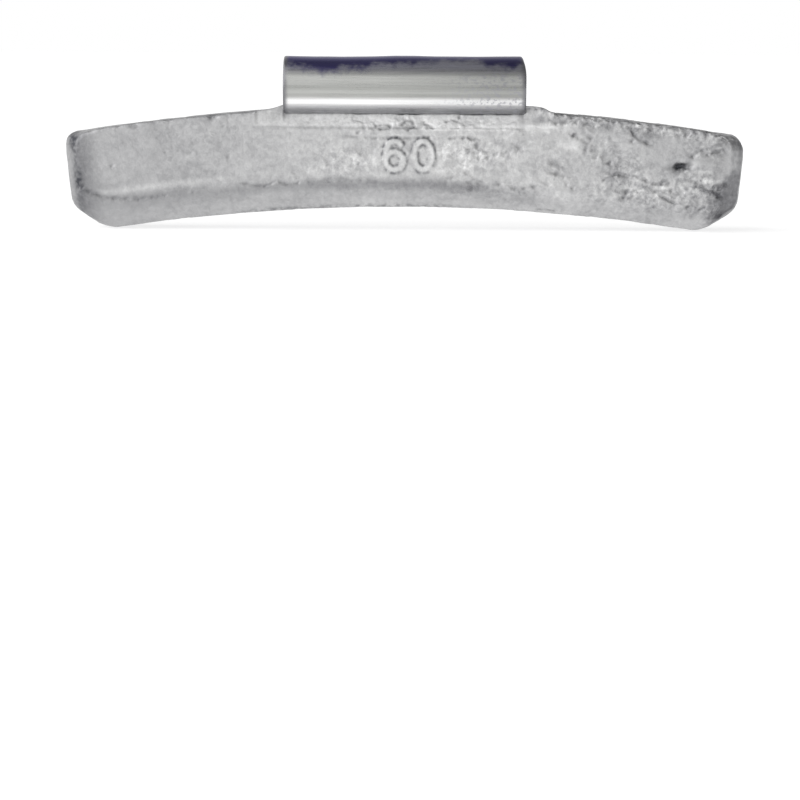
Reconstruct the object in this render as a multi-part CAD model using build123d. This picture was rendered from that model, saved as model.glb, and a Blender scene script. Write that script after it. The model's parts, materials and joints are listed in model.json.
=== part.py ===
from build123d import *
import math
import os

# Clip-on balance weight for a car wheel: a cast lead body on a bent spring-steel clip.
# The clip hooks over the lip of the rim, and its tang is locked inside the casting.
# X runs along the rim, Y points inboard to the rim's wall, Z points away from the axle.
# The origin is the axis of the clip's hook, half way along the clip's width.

# Spring-steel clip, in millimetres and degrees
steel_thickness = 1.0
rim_lip_gap = 4.3
clip_width = 24.3
grip_wall_clearance = 0.4
grip_toe_in = 1.5
grip_corner_radius = 1.2
seat_length = 1.2
tang_bend_radius = 0.8
tang_length = 4.2
lock_hole_diameter = 2.4
lock_hole_pitch = 7.5
lock_hole_count = 3

# Cast body, in millimetres and degrees
seat_radius = 200.0
body_length = 69.1
body_height = 10.3
body_thickness = 8.3
front_setback = 0.55
back_round_radius = 4.0
front_top_radius = 0.3
bevel_height = 2.1
bevel_depth = 1.6
bevel_ridge_radius = 1.6
bottom_edge_radius = 0.4
steel_proud = 0.1
notch_drop = 0.54
notch_angle = 55.0

# Ends of the casting, in millimetres and degrees
end_lean = 5.3
end_draft = 0.25
end_bevel = 1.2
corner_rise = 3.1
corner_run = 3.2
corner_bevel = 1.0
end_top_radius = 1.8
corner_end_radius = 2.0
corner_foot_radius = 6.0
cut_allowance = 2.0

# Places that follow from the sizes above
hook_inner = rim_lip_gap / 2
hook_outer = hook_inner + steel_thickness
half_clip = clip_width / 2
half_length = body_length / 2
front_y = front_setback - hook_outer
back_y = front_y + body_thickness
shoulder_y = front_y + bevel_depth
seat_z = -hook_inner
crown_z = seat_z + seat_radius - math.sqrt(seat_radius**2 - half_clip**2)
wheel_z = crown_z - seat_radius
bottom_radius = seat_radius - body_height


def strip_side(depth):
    """Edges of the clip's bent line, at a depth below the face that grips the rim."""
    toe = math.radians(grip_toe_in)
    hook = hook_inner + depth
    bend = tang_bend_radius + steel_thickness - depth
    bend_z = -hook_outer - tang_bend_radius
    hook_top = Vector(hook * math.sin(toe), hook * math.cos(toe))
    grip_y = back_y - grip_wall_clearance
    grip_tip = Vector(grip_y, hook_top.Y - (grip_y - hook_top.X) * math.tan(toe))
    tang_y = seat_length + bend
    return [
        Line(grip_tip, hook_top),
        CenterArc((0, 0), hook, 90 - grip_toe_in, 180 + grip_toe_in),
        Line((0, -hook), (seat_length, -hook)),
        CenterArc((seat_length, bend_z), bend, 90, -90),
        Line((tang_y, bend_z), (tang_y, bend_z - tang_length)),
    ]


def make_spring_clip():
    """The bent strip: grip, hook, seat and tang, with the holes that key it into the casting."""
    rim_side = strip_side(0)
    outer_side = strip_side(steel_thickness)
    grip_end = Line(rim_side[0] @ 0, outer_side[0] @ 0)
    tang_end = Line(rim_side[-1] @ 1, outer_side[-1] @ 1)
    profile = make_face([*rim_side, tang_end, *outer_side, grip_end])
    strip = extrude(Plane.YZ * profile, half_clip, both=True)
    grip_corners = strip.edges().filter_by(Axis.Y, reverse=True).filter_by(Axis.X, reverse=True)
    strip = fillet(grip_corners.group_by(Axis.Y)[-1], grip_corner_radius)

    tang_middle = (rim_side[-1] @ 0.5 + outer_side[-1] @ 0.5) / 2
    hole = Cylinder(lock_hole_diameter / 2, 2 * steel_thickness, rotation=(90, 0, 0))
    row = GridLocations(lock_hole_pitch, 1, lock_hole_count, 1)
    return strip - Pos(0, tang_middle.X, tang_middle.Y) * row * hole


def swept_section():
    """The casting's section, carried round the axle well past both of its ends."""
    bottom_z = crown_z - body_height
    section = FilletPolyline(
        (back_y, bottom_z),
        (back_y, crown_z),
        (front_y, crown_z),
        (front_y, bottom_z + bevel_height),
        (shoulder_y, bottom_z),
        radius=[bottom_edge_radius, back_round_radius, front_top_radius, bevel_ridge_radius,
                bottom_edge_radius],
        close=True,
    )
    axle = Axis((0, 0, wheel_z), (0, 1, 0))
    half_angle = math.degrees(math.asin((half_length + cut_allowance) / bottom_radius))
    ring = revolve(Plane.YZ * make_face(section), axis=axle, revolution_arc=2 * half_angle)
    return ring.rotate(axle, -half_angle)


def end_outline(y, inset, corner_inset):
    """Front view of both ends as one closed face at depth y, clear of the seat and the underside."""
    top_z = wheel_z + math.sqrt(seat_radius**2 - half_length**2)
    lean = math.tan(math.radians(end_lean))
    foot_x = half_length - body_height * lean
    foot_z = wheel_z + math.sqrt(bottom_radius**2 - foot_x**2)
    rise_z = foot_z + corner_rise + corner_inset
    run_x = foot_x - corner_run
    run_z = wheel_z + math.sqrt(bottom_radius**2 - run_x**2)
    tangent_rise = half_length**2 / (top_z - wheel_z)
    right_side = [
        (half_length - inset, top_z),
        (half_length - inset - (top_z - rise_z) * lean, rise_z),
        (run_x - inset - corner_inset, run_z),
        (run_x / 2, wheel_z + math.sqrt(bottom_radius**2 - run_x**2 / 4) - bottom_edge_radius),
    ]
    left_side = [(-x, z) for x, z in reversed(right_side)]
    radii = [end_top_radius, corner_end_radius, corner_foot_radius, 0]
    outline = FilletPolyline(
        (0, top_z + tangent_rise + end_top_radius),
        *right_side,
        *left_side,
        radius=[0, *radii, *reversed(radii)],
        close=True,
    )
    return Plane.XZ.offset(-y) * make_face(outline)


def make_cast_weight(clip):
    """The casting: its section trimmed to the drafted and bevelled ends, with the clip cast in."""
    ends = loft(
        [
            end_outline(back_y, 0, 0),
            end_outline(shoulder_y, end_draft, 0),
            end_outline(front_y, end_draft + end_bevel, corner_bevel),
        ],
        ruled=True,
    )
    body = swept_section() & ends

    land_z = seat_z - steel_proud
    notch_z = seat_z - notch_drop
    notch_y = -math.sqrt(hook_outer**2 - notch_z**2)
    slope = math.tan(math.radians(notch_angle))
    mouth = Polyline(
        (back_y + cut_allowance, land_z),
        (notch_y + (land_z - notch_z) / slope, land_z),
        (front_y - cut_allowance, notch_z - (notch_y - front_y + cut_allowance) * slope),
        (front_y - cut_allowance, crown_z + cut_allowance),
        (back_y + cut_allowance, crown_z + cut_allowance),
        close=True,
    )
    clip_land = extrude(Plane.YZ * make_face(mouth), half_clip, both=True)
    return body - clip_land - clip


spring_clip = make_spring_clip()
cast_weight = make_cast_weight(spring_clip)

os.makedirs("parts", exist_ok=True)
export_step(spring_clip, "parts/spring_clip.step")
export_step(cast_weight, "parts/cast_weight.step")
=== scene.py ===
# %% [markdown]
# # A clip-on wheel balance weight
# A tyre fitter hooks this part over the lip of a wheel rim. It is a curved bar of cast lead, poured round
# the tang of a bent spring-steel clip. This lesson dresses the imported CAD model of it: the sizes come
# from the CAD frame, and Blender adds the cast skin, the finish of both metals, the light and the camera.

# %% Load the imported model
import json
import math

import bmesh
import bpy
import numpy as np
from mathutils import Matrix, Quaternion, Vector


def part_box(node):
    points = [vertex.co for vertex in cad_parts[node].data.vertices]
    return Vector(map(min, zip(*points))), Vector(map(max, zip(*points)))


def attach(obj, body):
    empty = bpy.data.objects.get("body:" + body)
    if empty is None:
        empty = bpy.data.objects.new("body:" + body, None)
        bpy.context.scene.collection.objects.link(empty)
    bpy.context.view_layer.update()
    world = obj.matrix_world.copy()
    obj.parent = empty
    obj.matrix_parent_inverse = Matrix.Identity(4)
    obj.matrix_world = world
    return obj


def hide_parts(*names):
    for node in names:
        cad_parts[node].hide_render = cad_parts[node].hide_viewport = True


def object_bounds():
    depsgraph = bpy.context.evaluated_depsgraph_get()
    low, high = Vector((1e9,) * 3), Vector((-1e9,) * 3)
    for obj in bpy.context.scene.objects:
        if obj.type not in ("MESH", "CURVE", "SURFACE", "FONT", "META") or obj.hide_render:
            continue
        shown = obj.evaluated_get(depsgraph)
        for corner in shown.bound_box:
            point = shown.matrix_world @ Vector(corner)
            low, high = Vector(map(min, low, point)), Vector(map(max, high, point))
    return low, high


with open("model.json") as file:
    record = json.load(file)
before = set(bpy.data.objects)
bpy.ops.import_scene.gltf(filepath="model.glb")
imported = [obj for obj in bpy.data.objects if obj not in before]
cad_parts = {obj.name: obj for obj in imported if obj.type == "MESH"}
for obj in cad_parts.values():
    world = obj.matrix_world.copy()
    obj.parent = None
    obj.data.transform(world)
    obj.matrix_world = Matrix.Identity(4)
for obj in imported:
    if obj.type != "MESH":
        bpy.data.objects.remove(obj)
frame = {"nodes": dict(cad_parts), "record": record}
cad_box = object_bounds()
MM = 0.001
clip_low, clip_high = (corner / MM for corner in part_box("spring_clip"))
body_low, body_high = (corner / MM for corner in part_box("cast_weight"))
print("CAD box in mm:", [[round(c / MM, 2) for c in corner] for corner in cad_box])

# %% [markdown]
# ## Helpers for every step
# Colours are written as the sRGB hex codes that a paint program shows, and one function turns them into
# the linear light that Blender's sockets hold. A second one adds a node with its settings and links, so
# that each finish reads as a short recipe. Two more open an empty node tree and put a new object into the
# scene.

# %% Colour and node helpers
# Kinds of node, and settings of nodes, that come up often
MATH, NOISE, RANGE = "ShaderNodeMath", "ShaderNodeTexNoise", "ShaderNodeMapRange"
ADD, SUBTRACT, MULTIPLY, DIVIDE, MULTIPLY_ADD, MAXIMUM, ABSOLUTE, SCALE = ({"operation": name} for name in (
    "ADD", "SUBTRACT", "MULTIPLY", "DIVIDE", "MULTIPLY_ADD", "MAXIMUM", "ABSOLUTE", "SCALE"))
SMOOTHSTEP = {"interpolation_type": "SMOOTHSTEP"}
COLOURS = {"data_type": "RGBA"}


def linear(hex_code):
    """Linear light, with alpha, of an sRGB hex code."""
    channels = [int(hex_code[i:i + 2], 16) / 255 for i in (0, 2, 4)]
    return [c / 12.92 if c <= 0.04045 else ((c + 0.055) / 1.055) ** 2.4 for c in channels] + [1.0]


def add_node(tree, kind, settings=None, inputs=None, stops=None):
    """Adds a node. An input is a value, an output socket, or a node, which gives its first output."""
    node = tree.nodes.new(kind)
    for name, value in (settings or {}).items():
        setattr(node, name, value)
    for key, value in (inputs or {}).items():
        value = value.outputs[0] if isinstance(value, bpy.types.Node) else value
        if isinstance(value, bpy.types.NodeSocket):
            tree.links.new(value, node.inputs[key])
        else:
            node.inputs[key].default_value = value
    if stops:
        ramp = node.color_ramp.elements
        ramp[0].position, ramp[-1].position = stops[0][0], stops[-1][0]
        for place, _ in stops[1:-1]:
            ramp.new(place)
        for element, (_, hex_code) in zip(ramp, stops):
            element.color = linear(hex_code)
    return node


print("lead grey in linear light:", [round(c, 3) for c in linear("B4B5B8")])

# %% Tree and object helpers
def empty_tree(owner):
    """The node tree of a new material or world, cleared."""
    owner.use_nodes = True
    owner.node_tree.nodes.clear()
    return owner.node_tree


def place_object(name, data):
    """A new object of the data, linked to the scene."""
    made = bpy.data.objects.new(name, data)
    bpy.context.scene.collection.objects.link(made)
    return made


print("new objects go to", bpy.context.scene.collection.name)

# %% [markdown]
# ## The camera
# The weight is seen square from the front and a little from above, by a long lens, and it sits high in
# the picture. A camera could be shifted to put it there, but a shift stays when the camera moves round to
# another side. So this camera is pitched instead: it is turned until the point that it looks at lands on
# its pixel.

# %% Camera
PICTURE = 800
view_azimuth, view_elevation, view_roll = 0.5, 2.0, 0.3
view_distance = 285.0
mm_per_pixel = 0.1018
aim_mm = Vector((0.0, 1.5, -5.0))
aim_pixel = (404.7, 136.4)

azimuth, elevation = math.radians(view_azimuth), math.radians(view_elevation)
back = Vector((math.sin(azimuth) * math.cos(elevation), -math.cos(azimuth) * math.cos(elevation),
               math.sin(elevation)))
focal_pixels = view_distance / mm_per_pixel
to_aim = Vector((aim_pixel[0] - PICTURE / 2, PICTURE / 2 - aim_pixel[1], -focal_pixels))
pitch = to_aim.rotation_difference(Vector((0, 0, -1)))
level = (-back).to_track_quat("-Z", "Y")

lens = bpy.data.cameras.new("long_lens")
lens.sensor_width = 36.0
lens.lens = focal_pixels * lens.sensor_width / PICTURE
lens.clip_start = 5 * MM
camera = place_object("camera", lens)
camera.location = (aim_mm + back * view_distance) * MM
camera.rotation_mode = "QUATERNION"
camera.rotation_quaternion = Quaternion(back, math.radians(view_roll)) @ level @ pitch
bpy.context.scene.camera = camera
bpy.context.scene.view_settings.view_transform = "Standard"
print(f"lens {lens.lens:.1f} mm, camera at", [round(c / MM, 1) for c in camera.location])

# %% [markdown]
# ## Floor and studio
# Bare metal shows its surroundings, so the room is part of the finish. The weight lies on a white table,
# whose matt paint scatters the light and carries the shadow. A little light of its own, seen only by the
# camera and in reflections, takes the rest of the table to white.

# %% Floor
floor_radius, floor_glow = 3.0, 0.65
floor_mesh = bpy.data.meshes.new("white_table")
shape = bmesh.new()
bmesh.ops.create_circle(shape, cap_ends=True, radius=floor_radius, segments=96)
bmesh.ops.translate(shape, verts=shape.verts, vec=(0, 0, cad_box[0].z))
shape.to_mesh(floor_mesh)
shape.free()
floor = place_object("white_table", floor_mesh)

paint = bpy.data.materials.new("matt_white_table")
tree = empty_tree(paint)
rays = add_node(tree, "ShaderNodeLightPath").outputs
seen = add_node(tree, MATH, MAXIMUM, {0: rays["Is Camera Ray"], 1: rays["Is Glossy Ray"]})
seen = add_node(tree, MATH, MAXIMUM, {0: seen, 1: rays["Is Transmission Ray"]})
glow = add_node(tree, MATH, MULTIPLY, {0: seen, 1: floor_glow})
lit = add_node(tree, "ShaderNodeBsdfDiffuse", inputs={"Color": linear("C8C8C8")})
own = add_node(tree, "ShaderNodeEmission", inputs={"Color": linear("FFFFFF"), "Strength": glow})
both = add_node(tree, "ShaderNodeAddShader", inputs={0: lit, 1: own})
add_node(tree, "ShaderNodeOutputMaterial", inputs={"Surface": both})
floor_mesh.materials.append(paint)
print("floor at", round(cad_box[0].z / MM, 2), "mm")

# %% [markdown]
# Round the table is a pale room, brighter to the left, with a dim ceiling, which is what draws the dark
# line along every edge that turns up. Panels and lamps could be built for it, but a gradient on the world
# does the same with nothing to place. A wide, soft sun from the front left stands for the window.

# %% Room light
wall_light, ceiling_light = 1.0, 0.4
wall_top, ceiling_edge = 30.0, 88.0
left_share, right_share, side_reach = 1.05, 0.45, 0.8
world = bpy.data.worlds.new("studio_room")
bpy.context.scene.world = world
tree = empty_tree(world)
way = add_node(tree, "ShaderNodeTexCoord").outputs["Generated"]
axes = add_node(tree, "ShaderNodeSeparateXYZ", inputs={0: way}).outputs
height = add_node(tree, RANGE, SMOOTHSTEP, {
    "Value": axes["Z"], "From Min": math.sin(math.radians(wall_top)),
    "From Max": math.sin(math.radians(ceiling_edge)), "To Min": wall_light, "To Max": ceiling_light})
side = add_node(tree, RANGE, SMOOTHSTEP, {
    "Value": axes["X"], "From Min": -side_reach, "From Max": side_reach,
    "To Min": left_share, "To Max": right_share})
room = add_node(tree, MATH, MULTIPLY, {0: height, 1: side})
rays = add_node(tree, "ShaderNodeLightPath").outputs
room = add_node(tree, MATH, MAXIMUM, {0: room, 1: rays["Is Camera Ray"]})
sky = add_node(tree, "ShaderNodeBackground", inputs={"Color": linear("FFFFFF"), "Strength": room})
add_node(tree, "ShaderNodeOutputWorld", inputs={"Surface": sky})
print("walls", wall_light, "up to", wall_top, "degrees, ceiling", ceiling_light)

# %% Window light
window_azimuth, window_height, window_width, window_power = -62.0, 36.0, 80.0, 1.15
window = bpy.data.lights.new("window_light", "SUN")
window.energy, window.angle = window_power, math.radians(window_width)
window_light = place_object("window_light", window)
window_way = Vector((math.sin(math.radians(window_azimuth)), -math.cos(math.radians(window_azimuth)),
                     math.tan(math.radians(window_height))))
window_light.rotation_mode = "QUATERNION"
window_light.rotation_quaternion = window_way.to_track_quat("Z", "Y")
print("window from", [round(c, 2) for c in window_way.normalized()])

# %% [markdown]
# ## The clip's shape
# The clip is one strip of steel, bent over formers: a grip, a hook round the rim's lip, a seat and a tang
# with three holes that the lead fills. It could be a bevelled copy of the CAD mesh, but a strip that
# follows a path is just what Geometry Nodes sweep. So the script works out the bent line and the strip's
# section, and a node tree sweeps the one along the other.

# %% The bent line of the strip
hook_inner = next(m for m in frame["record"]["mounts"] if m["name"] == "rim_clip")["dims"]["r_mm"]
hook_outer = -clip_low.y
strip_thickness = hook_outer - hook_inner
strip_width = clip_high.x - clip_low.x
hook_middle = hook_inner + strip_thickness / 2
grip_toe_in, seat_length, tang_bend_radius = 1.5, 1.2, 0.8
grip_points, hook_points, bend_points, tang_points = 24, 96, 24, 12


def arc(centre, radius, start, end, count):
    """Points of an arc in the YZ plane, in degrees from +Y towards +Z."""
    return [(centre[0] + radius * math.cos(a), centre[1] + radius * math.sin(a))
            for a in np.radians(np.linspace(start, end, count))]


bend = tang_bend_radius + strip_thickness / 2
bend_centre = (seat_length, -hook_outer - tang_bend_radius)
toe = math.radians(grip_toe_in)
grip_run = clip_high.y - hook_middle * math.sin(toe)
grip = [(grip_y, hook_middle / math.cos(toe) - grip_y * math.tan(toe))
        for grip_y in clip_high.y - np.linspace(0, grip_run, grip_points)[:-1]]
hook = arc((0, 0), hook_middle, 90 - grip_toe_in, 270, hook_points)
tang_bend = arc(bend_centre, bend, 90, 0, bend_points)
tang_y = bend_centre[0] + bend
tang = [(tang_y, tang_z) for tang_z in np.linspace(bend_centre[1], clip_low.z, tang_points)[1:]]
bent_line = [(0, *place) for place in grip + hook + tang_bend + tang]
print(len(bent_line), "points, strip", round(strip_width, 2), "x", round(strip_thickness, 2), "mm")

# %% [markdown]
# Sheared strip has no sharp corners: the blade rolls the edge over. The section below rounds its corners
# by that much. Its long sides are cut into short lengths, so that the sweep has points to waver.

# %% The strip's section
rollover = 0.2
section_step = 0.4
corner_points = 5


def strip_section():
    """Closed outline of the strip: across the width in X, through the thickness in Y."""
    half_x, half_y = strip_width / 2 - rollover, strip_thickness / 2 - rollover
    corners = [(half_x, half_y, 0), (-half_x, half_y, 90), (-half_x, -half_y, 180), (half_x, -half_y, 270)]
    outline = []
    for i, (cx, cy, turn) in enumerate(corners):
        turned = np.radians(np.linspace(turn, turn + 90, corner_points))
        outline += [(cx + rollover * math.cos(a), cy + rollover * math.sin(a)) for a in turned]
        if i % 2 == 0:
            start_x, y = outline[-1]
            cuts = int(2 * half_x / section_step)
            outline += [(start_x - math.copysign(2 * half_x, cx) * k / cuts, y) for k in range(1, cuts)]
    return [(x, y, 0) for x, y in outline]


def poly_curve(name, points, closed):
    """A curve object through the points."""
    data = bpy.data.curves.new(name, "CURVE")
    data.dimensions = "3D"
    spline = data.splines.new("POLY")
    spline.points.add(len(points) - 1)
    for point, place in zip(spline.points, points):
        point.co = (*place, 1)
    spline.use_cyclic_u = closed
    return place_object(name, data)


line_curve = poly_curve("clip_bent_line", bent_line, False)
section_curve = poly_curve("clip_section", strip_section(), True)
print(len(section_curve.data.splines[0].points), "points round the strip")

# %% [markdown]
# A node tree gets its sizes through named inputs, and a modifier sets those by the socket's identifier.
# Small functions do that for both trees of this lesson: they open a tree, end it, and run it, and keep
# the result as a plain mesh, because modifiers and instances don't travel with the model.

# %% Opening and running a node tree
SOCKETS = {float: "NodeSocketFloat", int: "NodeSocketInt", Vector: "NodeSocketVector",
           bpy.types.Object: "NodeSocketObject", bpy.types.Material: "NodeSocketMaterial"}


def open_tree(name, sizes):
    """A geometry tree with one named input for each size, and the sockets of its group input."""
    tree = bpy.data.node_groups.new(name, "GeometryNodeTree")
    tree.interface.new_socket("Geometry", in_out="OUTPUT", socket_type="NodeSocketGeometry")
    tree.interface.new_socket("Geometry", in_out="INPUT", socket_type="NodeSocketGeometry")
    for label, value in sizes.items():
        tree.interface.new_socket(label, in_out="INPUT", socket_type=SOCKETS[type(value)])
    return tree, add_node(tree, "NodeGroupInput").outputs


def close_tree(tree, shape, material):
    """Ends a tree: makes instances real, sets the material and hands the shape out."""
    whole = add_node(tree, "GeometryNodeRealizeInstances", inputs={0: shape})
    coated = add_node(tree, "GeometryNodeSetMaterial", inputs={0: whole, "Material": material})
    add_node(tree, "NodeGroupOutput", inputs={0: coated})


def plain_mesh(holder):
    """The mesh that an object's modifier makes. The object is removed."""
    made = bpy.data.meshes.new_from_object(holder.evaluated_get(bpy.context.evaluated_depsgraph_get()))
    bpy.data.objects.remove(holder)
    return made


def run_tree(tree, sizes, start):
    """The plain mesh that the tree makes from a starting mesh."""
    holder = place_object("holder", start)
    modifier = holder.modifiers.new(tree.name, "NODES")
    modifier.node_group = tree
    for socket in tree.interface.items_tree:
        if socket.in_out == "INPUT" and socket.name in sizes:
            modifier[socket.identifier] = sizes[socket.name]
    return plain_mesh(holder)


print("sockets for", ", ".join(kind.__name__ for kind in SOCKETS))

# %% [markdown]
# ## Spring steel, cold-rolled and tempered
# Cold rolling leaves fine lines along the strip and a dull grey shine. Tempering after the bend turns
# patches on the crown of the hook blue. The greys round the bend are painted light: one bright stripe
# just above the casting is a painted reflection of the white table, lighter greys near the casting lift
# the shade where the hook meets it, and darker greys over the crown are painted shade against the
# window's highlight. An unwrapped strip could be painted, but all of that follows the bend, so the greys
# run on the angle round the hook's axis, which the Object coordinates give.

# %% Steel finish: painted reflection and shade round the bend
steel = bpy.data.materials.new("spring_steel_cold_rolled_tempered")
tree = empty_tree(steel)
place = add_node(tree, "ShaderNodeTexCoord").outputs["Object"]
axes = add_node(tree, "ShaderNodeSeparateXYZ", inputs={0: place}).outputs
to_front = add_node(tree, MATH, MULTIPLY, {0: axes["Y"], 1: -1.0})
turn = add_node(tree, MATH, {"operation": "ARCTAN2"}, {0: axes["Z"], 1: to_front})
turn = add_node(tree, MATH, {"operation": "DEGREES"}, {0: turn})
bend_from, bend_to = -60, 120
along_bend = add_node(tree, RANGE, inputs={"Value": turn, "From Min": bend_from, "From Max": bend_to})
# Painted reflection and shade: the white stripe is the table seen in the steel, and the greys round it set
# the steel's light and shade along the bend.
painted_reflection_greys = add_node(tree, "ShaderNodeValToRGB", inputs={"Fac": along_bend}, stops=[
    ((degrees - bend_from) / (bend_to - bend_from), grey) for degrees, grey in (
        (-60, "A4A4A6"), (-50, "9B9B9E"), (-43, "B0B0B2"), (-38, "BEBEC0"), (-34, "D8D8D8"), (-31, "FFFFFF"),
        (-24, "FFFFFF"), (-21, "DCDCDB"), (-17, "B2B2B0"), (-13, "B0B1AE"), (-9, "BCBDBA"), (-4, "B0B1AE"),
        (0, "B2B3B0"), (5, "C6C7C4"), (9, "CECFCC"), (19, "CBCCC9"), (24, "B0B1AF"), (33, "9C9CA1"),
        (41, "AEAEBA"), (51, "B8B8C4"), (57, "9A9AA6"), (115, "90909C"))])
print(len(painted_reflection_greys.color_ramp.elements), "greys round the bend")

# %% [markdown]
# The right part of the strip has been rubbed by other weights in the tray, which breaks its shine up into
# specks. The temper blue lies over that. It reaches furthest down at the left and in one patch at the
# right, and keeps to the crown between them, as the heat was uneven. A ramp along the strip says how far
# the heat came at each place, and noise makes the border ragged.

# %% Steel finish: rubbed specks and temper blue
along_strip = add_node(tree, RANGE, inputs={
    "Value": axes["X"], "From Min": -strip_width / 2 * MM, "From Max": strip_width / 2 * MM})
rubbed_mm, rubbed_most = 0.35, 0.6
rubbed = add_node(tree, NOISE, inputs={"Vector": place, "Scale": 1 / (rubbed_mm * MM), "Detail": 3.0})
rubbed = add_node(tree, RANGE, SMOOTHSTEP, {
    "Value": rubbed, "From Min": 0.5, "From Max": 0.62, "To Max": rubbed_most})
right_part = add_node(tree, RANGE, inputs={"Value": along_strip, "From Min": 0.6, "From Max": 0.85})
rubbed = add_node(tree, MATH, MULTIPLY, {0: rubbed, 1: right_part})
specked = add_node(tree, "ShaderNodeMix", COLOURS, {0: rubbed, 6: painted_reflection_greys, 7: linear("ACACB4")})

ragged_mm, ragged_degrees = 0.9, 24.0
blue_from, cool_degrees, border_degrees = 27.0, 44.0, 13.0
ragged = add_node(tree, NOISE, inputs={
    "Vector": place, "Scale": 1 / (ragged_mm * MM), "Detail": 5.0, "Roughness": 0.65})
ragged = add_node(tree, RANGE, inputs={
    "Value": ragged, "To Min": -ragged_degrees, "To Max": ragged_degrees})
ragged_turn = add_node(tree, MATH, ADD, {0: turn, 1: ragged})
heat = add_node(tree, "ShaderNodeValToRGB", inputs={"Fac": along_strip}, stops=[
    (0.01, "B4B4B4"), (0.06, "DCDCDC"), (0.14, "F2F2F2"), (0.19, "FAFAFA"), (0.25, "E0E0E0"),
    (0.32, "E2E2E2"), (0.38, "C6C6C6"), (0.53, "BDBDBD"), (0.6, "9C9C9C"), (0.65, "8C8C8C"),
    (0.8, "7C7C7C"), (0.84, "D4D4D4"), (0.95, "D4D4D4"), (0.99, "A0A0A0")])
warmed = add_node(tree, MATH, MULTIPLY_ADD, {0: heat, 1: cool_degrees, 2: ragged_turn})
blue_edge = blue_from + cool_degrees
blued = add_node(tree, RANGE, SMOOTHSTEP, {
    "Value": warmed, "From Min": blue_edge - border_degrees, "From Max": blue_edge + border_degrees})
tinted = add_node(tree, "ShaderNodeMix", COLOURS, {0: blued, 6: specked.outputs[2], 7: linear("4F4C78")})
print("blue from", blue_from, "to", blue_edge, "degrees round the bend")

# %% [markdown]
# Real rolling lines are hundredths of a millimetre apart. That is finer than a pixel here, so they are
# drawn as coarse as they need to show. They streak the grey, vary the shine and score the surface. The
# strip is duller to the right, and a darker grey is painted along its cut edges all round as painted shade.

# %% Steel finish: rolling lines, painted edge shade and shader
rolling_mm, rolling_stretch = 0.16, 0.03
edge_from_mm, edge_to_mm = 0.65, 0.12
lengthwise = add_node(tree, "ShaderNodeMapping", inputs={"Vector": place, "Scale": (rolling_stretch, 1, 1)})
rolling = add_node(tree, NOISE, inputs={
    "Vector": lengthwise, "Scale": 1 / (rolling_mm * MM), "Detail": 3.0, "Roughness": 0.6})
streak = add_node(tree, RANGE, inputs={
    "Value": rolling, "From Min": 0.25, "From Max": 0.75, "To Min": 0.88, "To Max": 1.06})
dulled = add_node(tree, RANGE, inputs={
    "Value": along_strip, "From Min": 0.35, "From Max": 0.9, "To Min": 1.0, "To Max": 0.8})
streak = add_node(tree, MATH, MULTIPLY, {0: streak, 1: dulled})
streaked = add_node(tree, "ShaderNodeVectorMath", SCALE, {0: tinted.outputs[2], "Scale": streak})
outwards = add_node(tree, MATH, ABSOLUTE, {0: axes["X"]})
past_side = add_node(tree, MATH, SUBTRACT, {0: outwards, 1: strip_width / 2 * MM})
past_tip = add_node(tree, MATH, SUBTRACT, {0: axes["Y"], 1: clip_high.y * MM})
past_edge = add_node(tree, MATH, MAXIMUM, {0: past_side, 1: past_tip})
# Painted shade: the grey darkens over the last half millimetre to each cut edge.
edge_shade = add_node(tree, RANGE, SMOOTHSTEP, {
    "Value": past_edge, "From Min": -edge_from_mm * MM, "From Max": -edge_to_mm * MM})
edge_shaded = add_node(tree, "ShaderNodeMix", COLOURS, {0: edge_shade, 6: streaked, 7: linear("838386")})
sheen = add_node(tree, RANGE, inputs={"Value": rolling, "To Min": 0.2, "To Max": 0.36})
scored = add_node(tree, "ShaderNodeBump", inputs={
    "Strength": 0.25, "Distance": 0.02 * MM, "Height": rolling})
metal = add_node(tree, "ShaderNodeBsdfPrincipled", inputs={
    "Base Color": edge_shaded.outputs[2], "Metallic": 1.0, "Roughness": sheen, "Normal": scored})
add_node(tree, "ShaderNodeOutputMaterial", inputs={"Surface": metal})
print("steel:", len(tree.nodes), "nodes")

# %% [markdown]
# ## Sweeping the strip
# Rolled strip is never quite flat. It could be bent with a lattice, but a noise in the tree is shorter:
# after the sweep, it presses the skin in by a few hundredths of a millimetre.

# %% Sweep the strip and let it waver
hole_pitch = 7.5
clip_sizes = {
    "Bent line": line_curve, "Section": section_curve,
    "Waver depth": 0.03, "Waver length": 4.0, "Seed": 3.0,
    "Hole diameter": 2.4, "Hole pitch": hole_pitch, "Holes": 3,
    "First hole": Vector((-hole_pitch, tang_y, (bend_centre[1] + clip_low.z) / 2)),
    "Steel": steel,
}
tree, given = open_tree("bent_strip", clip_sizes)
line, outline = (
    add_node(tree, "GeometryNodeObjectInfo", inputs={"Object": given[label]}).outputs["Geometry"]
    for label in ("Bent line", "Section"))
swept = add_node(tree, "GeometryNodeCurveToMesh", inputs={
    "Curve": line, "Profile Curve": outline, "Fill Caps": True})
per_mm = add_node(tree, MATH, DIVIDE, {0: 1.0, 1: given["Waver length"]})
waver = add_node(tree, NOISE, {"noise_dimensions": "4D"}, {
    "W": given["Seed"], "Scale": per_mm, "Detail": 1.0})
sunk = add_node(tree, MATH, SUBTRACT, {0: waver, 1: 1.0})
depth = add_node(tree, MATH, MULTIPLY, {0: sunk, 1: given["Waver depth"]})
normal = add_node(tree, "GeometryNodeInputNormal")
offset = add_node(tree, "ShaderNodeVectorMath", SCALE, {0: normal, "Scale": depth})
wavered = add_node(tree, "GeometryNodeSetPosition", inputs={"Geometry": swept, "Offset": offset})
print("strip tree:", len(clip_sizes), "inputs,", len(tree.nodes), "nodes so far")

# %% [markdown]
# The tang's holes let the lead flow through and key the clip. They are a row of cylinders, set out along
# a line by their pitch and cut from the strip in one go, as a punch with three pins would do it.

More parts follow.
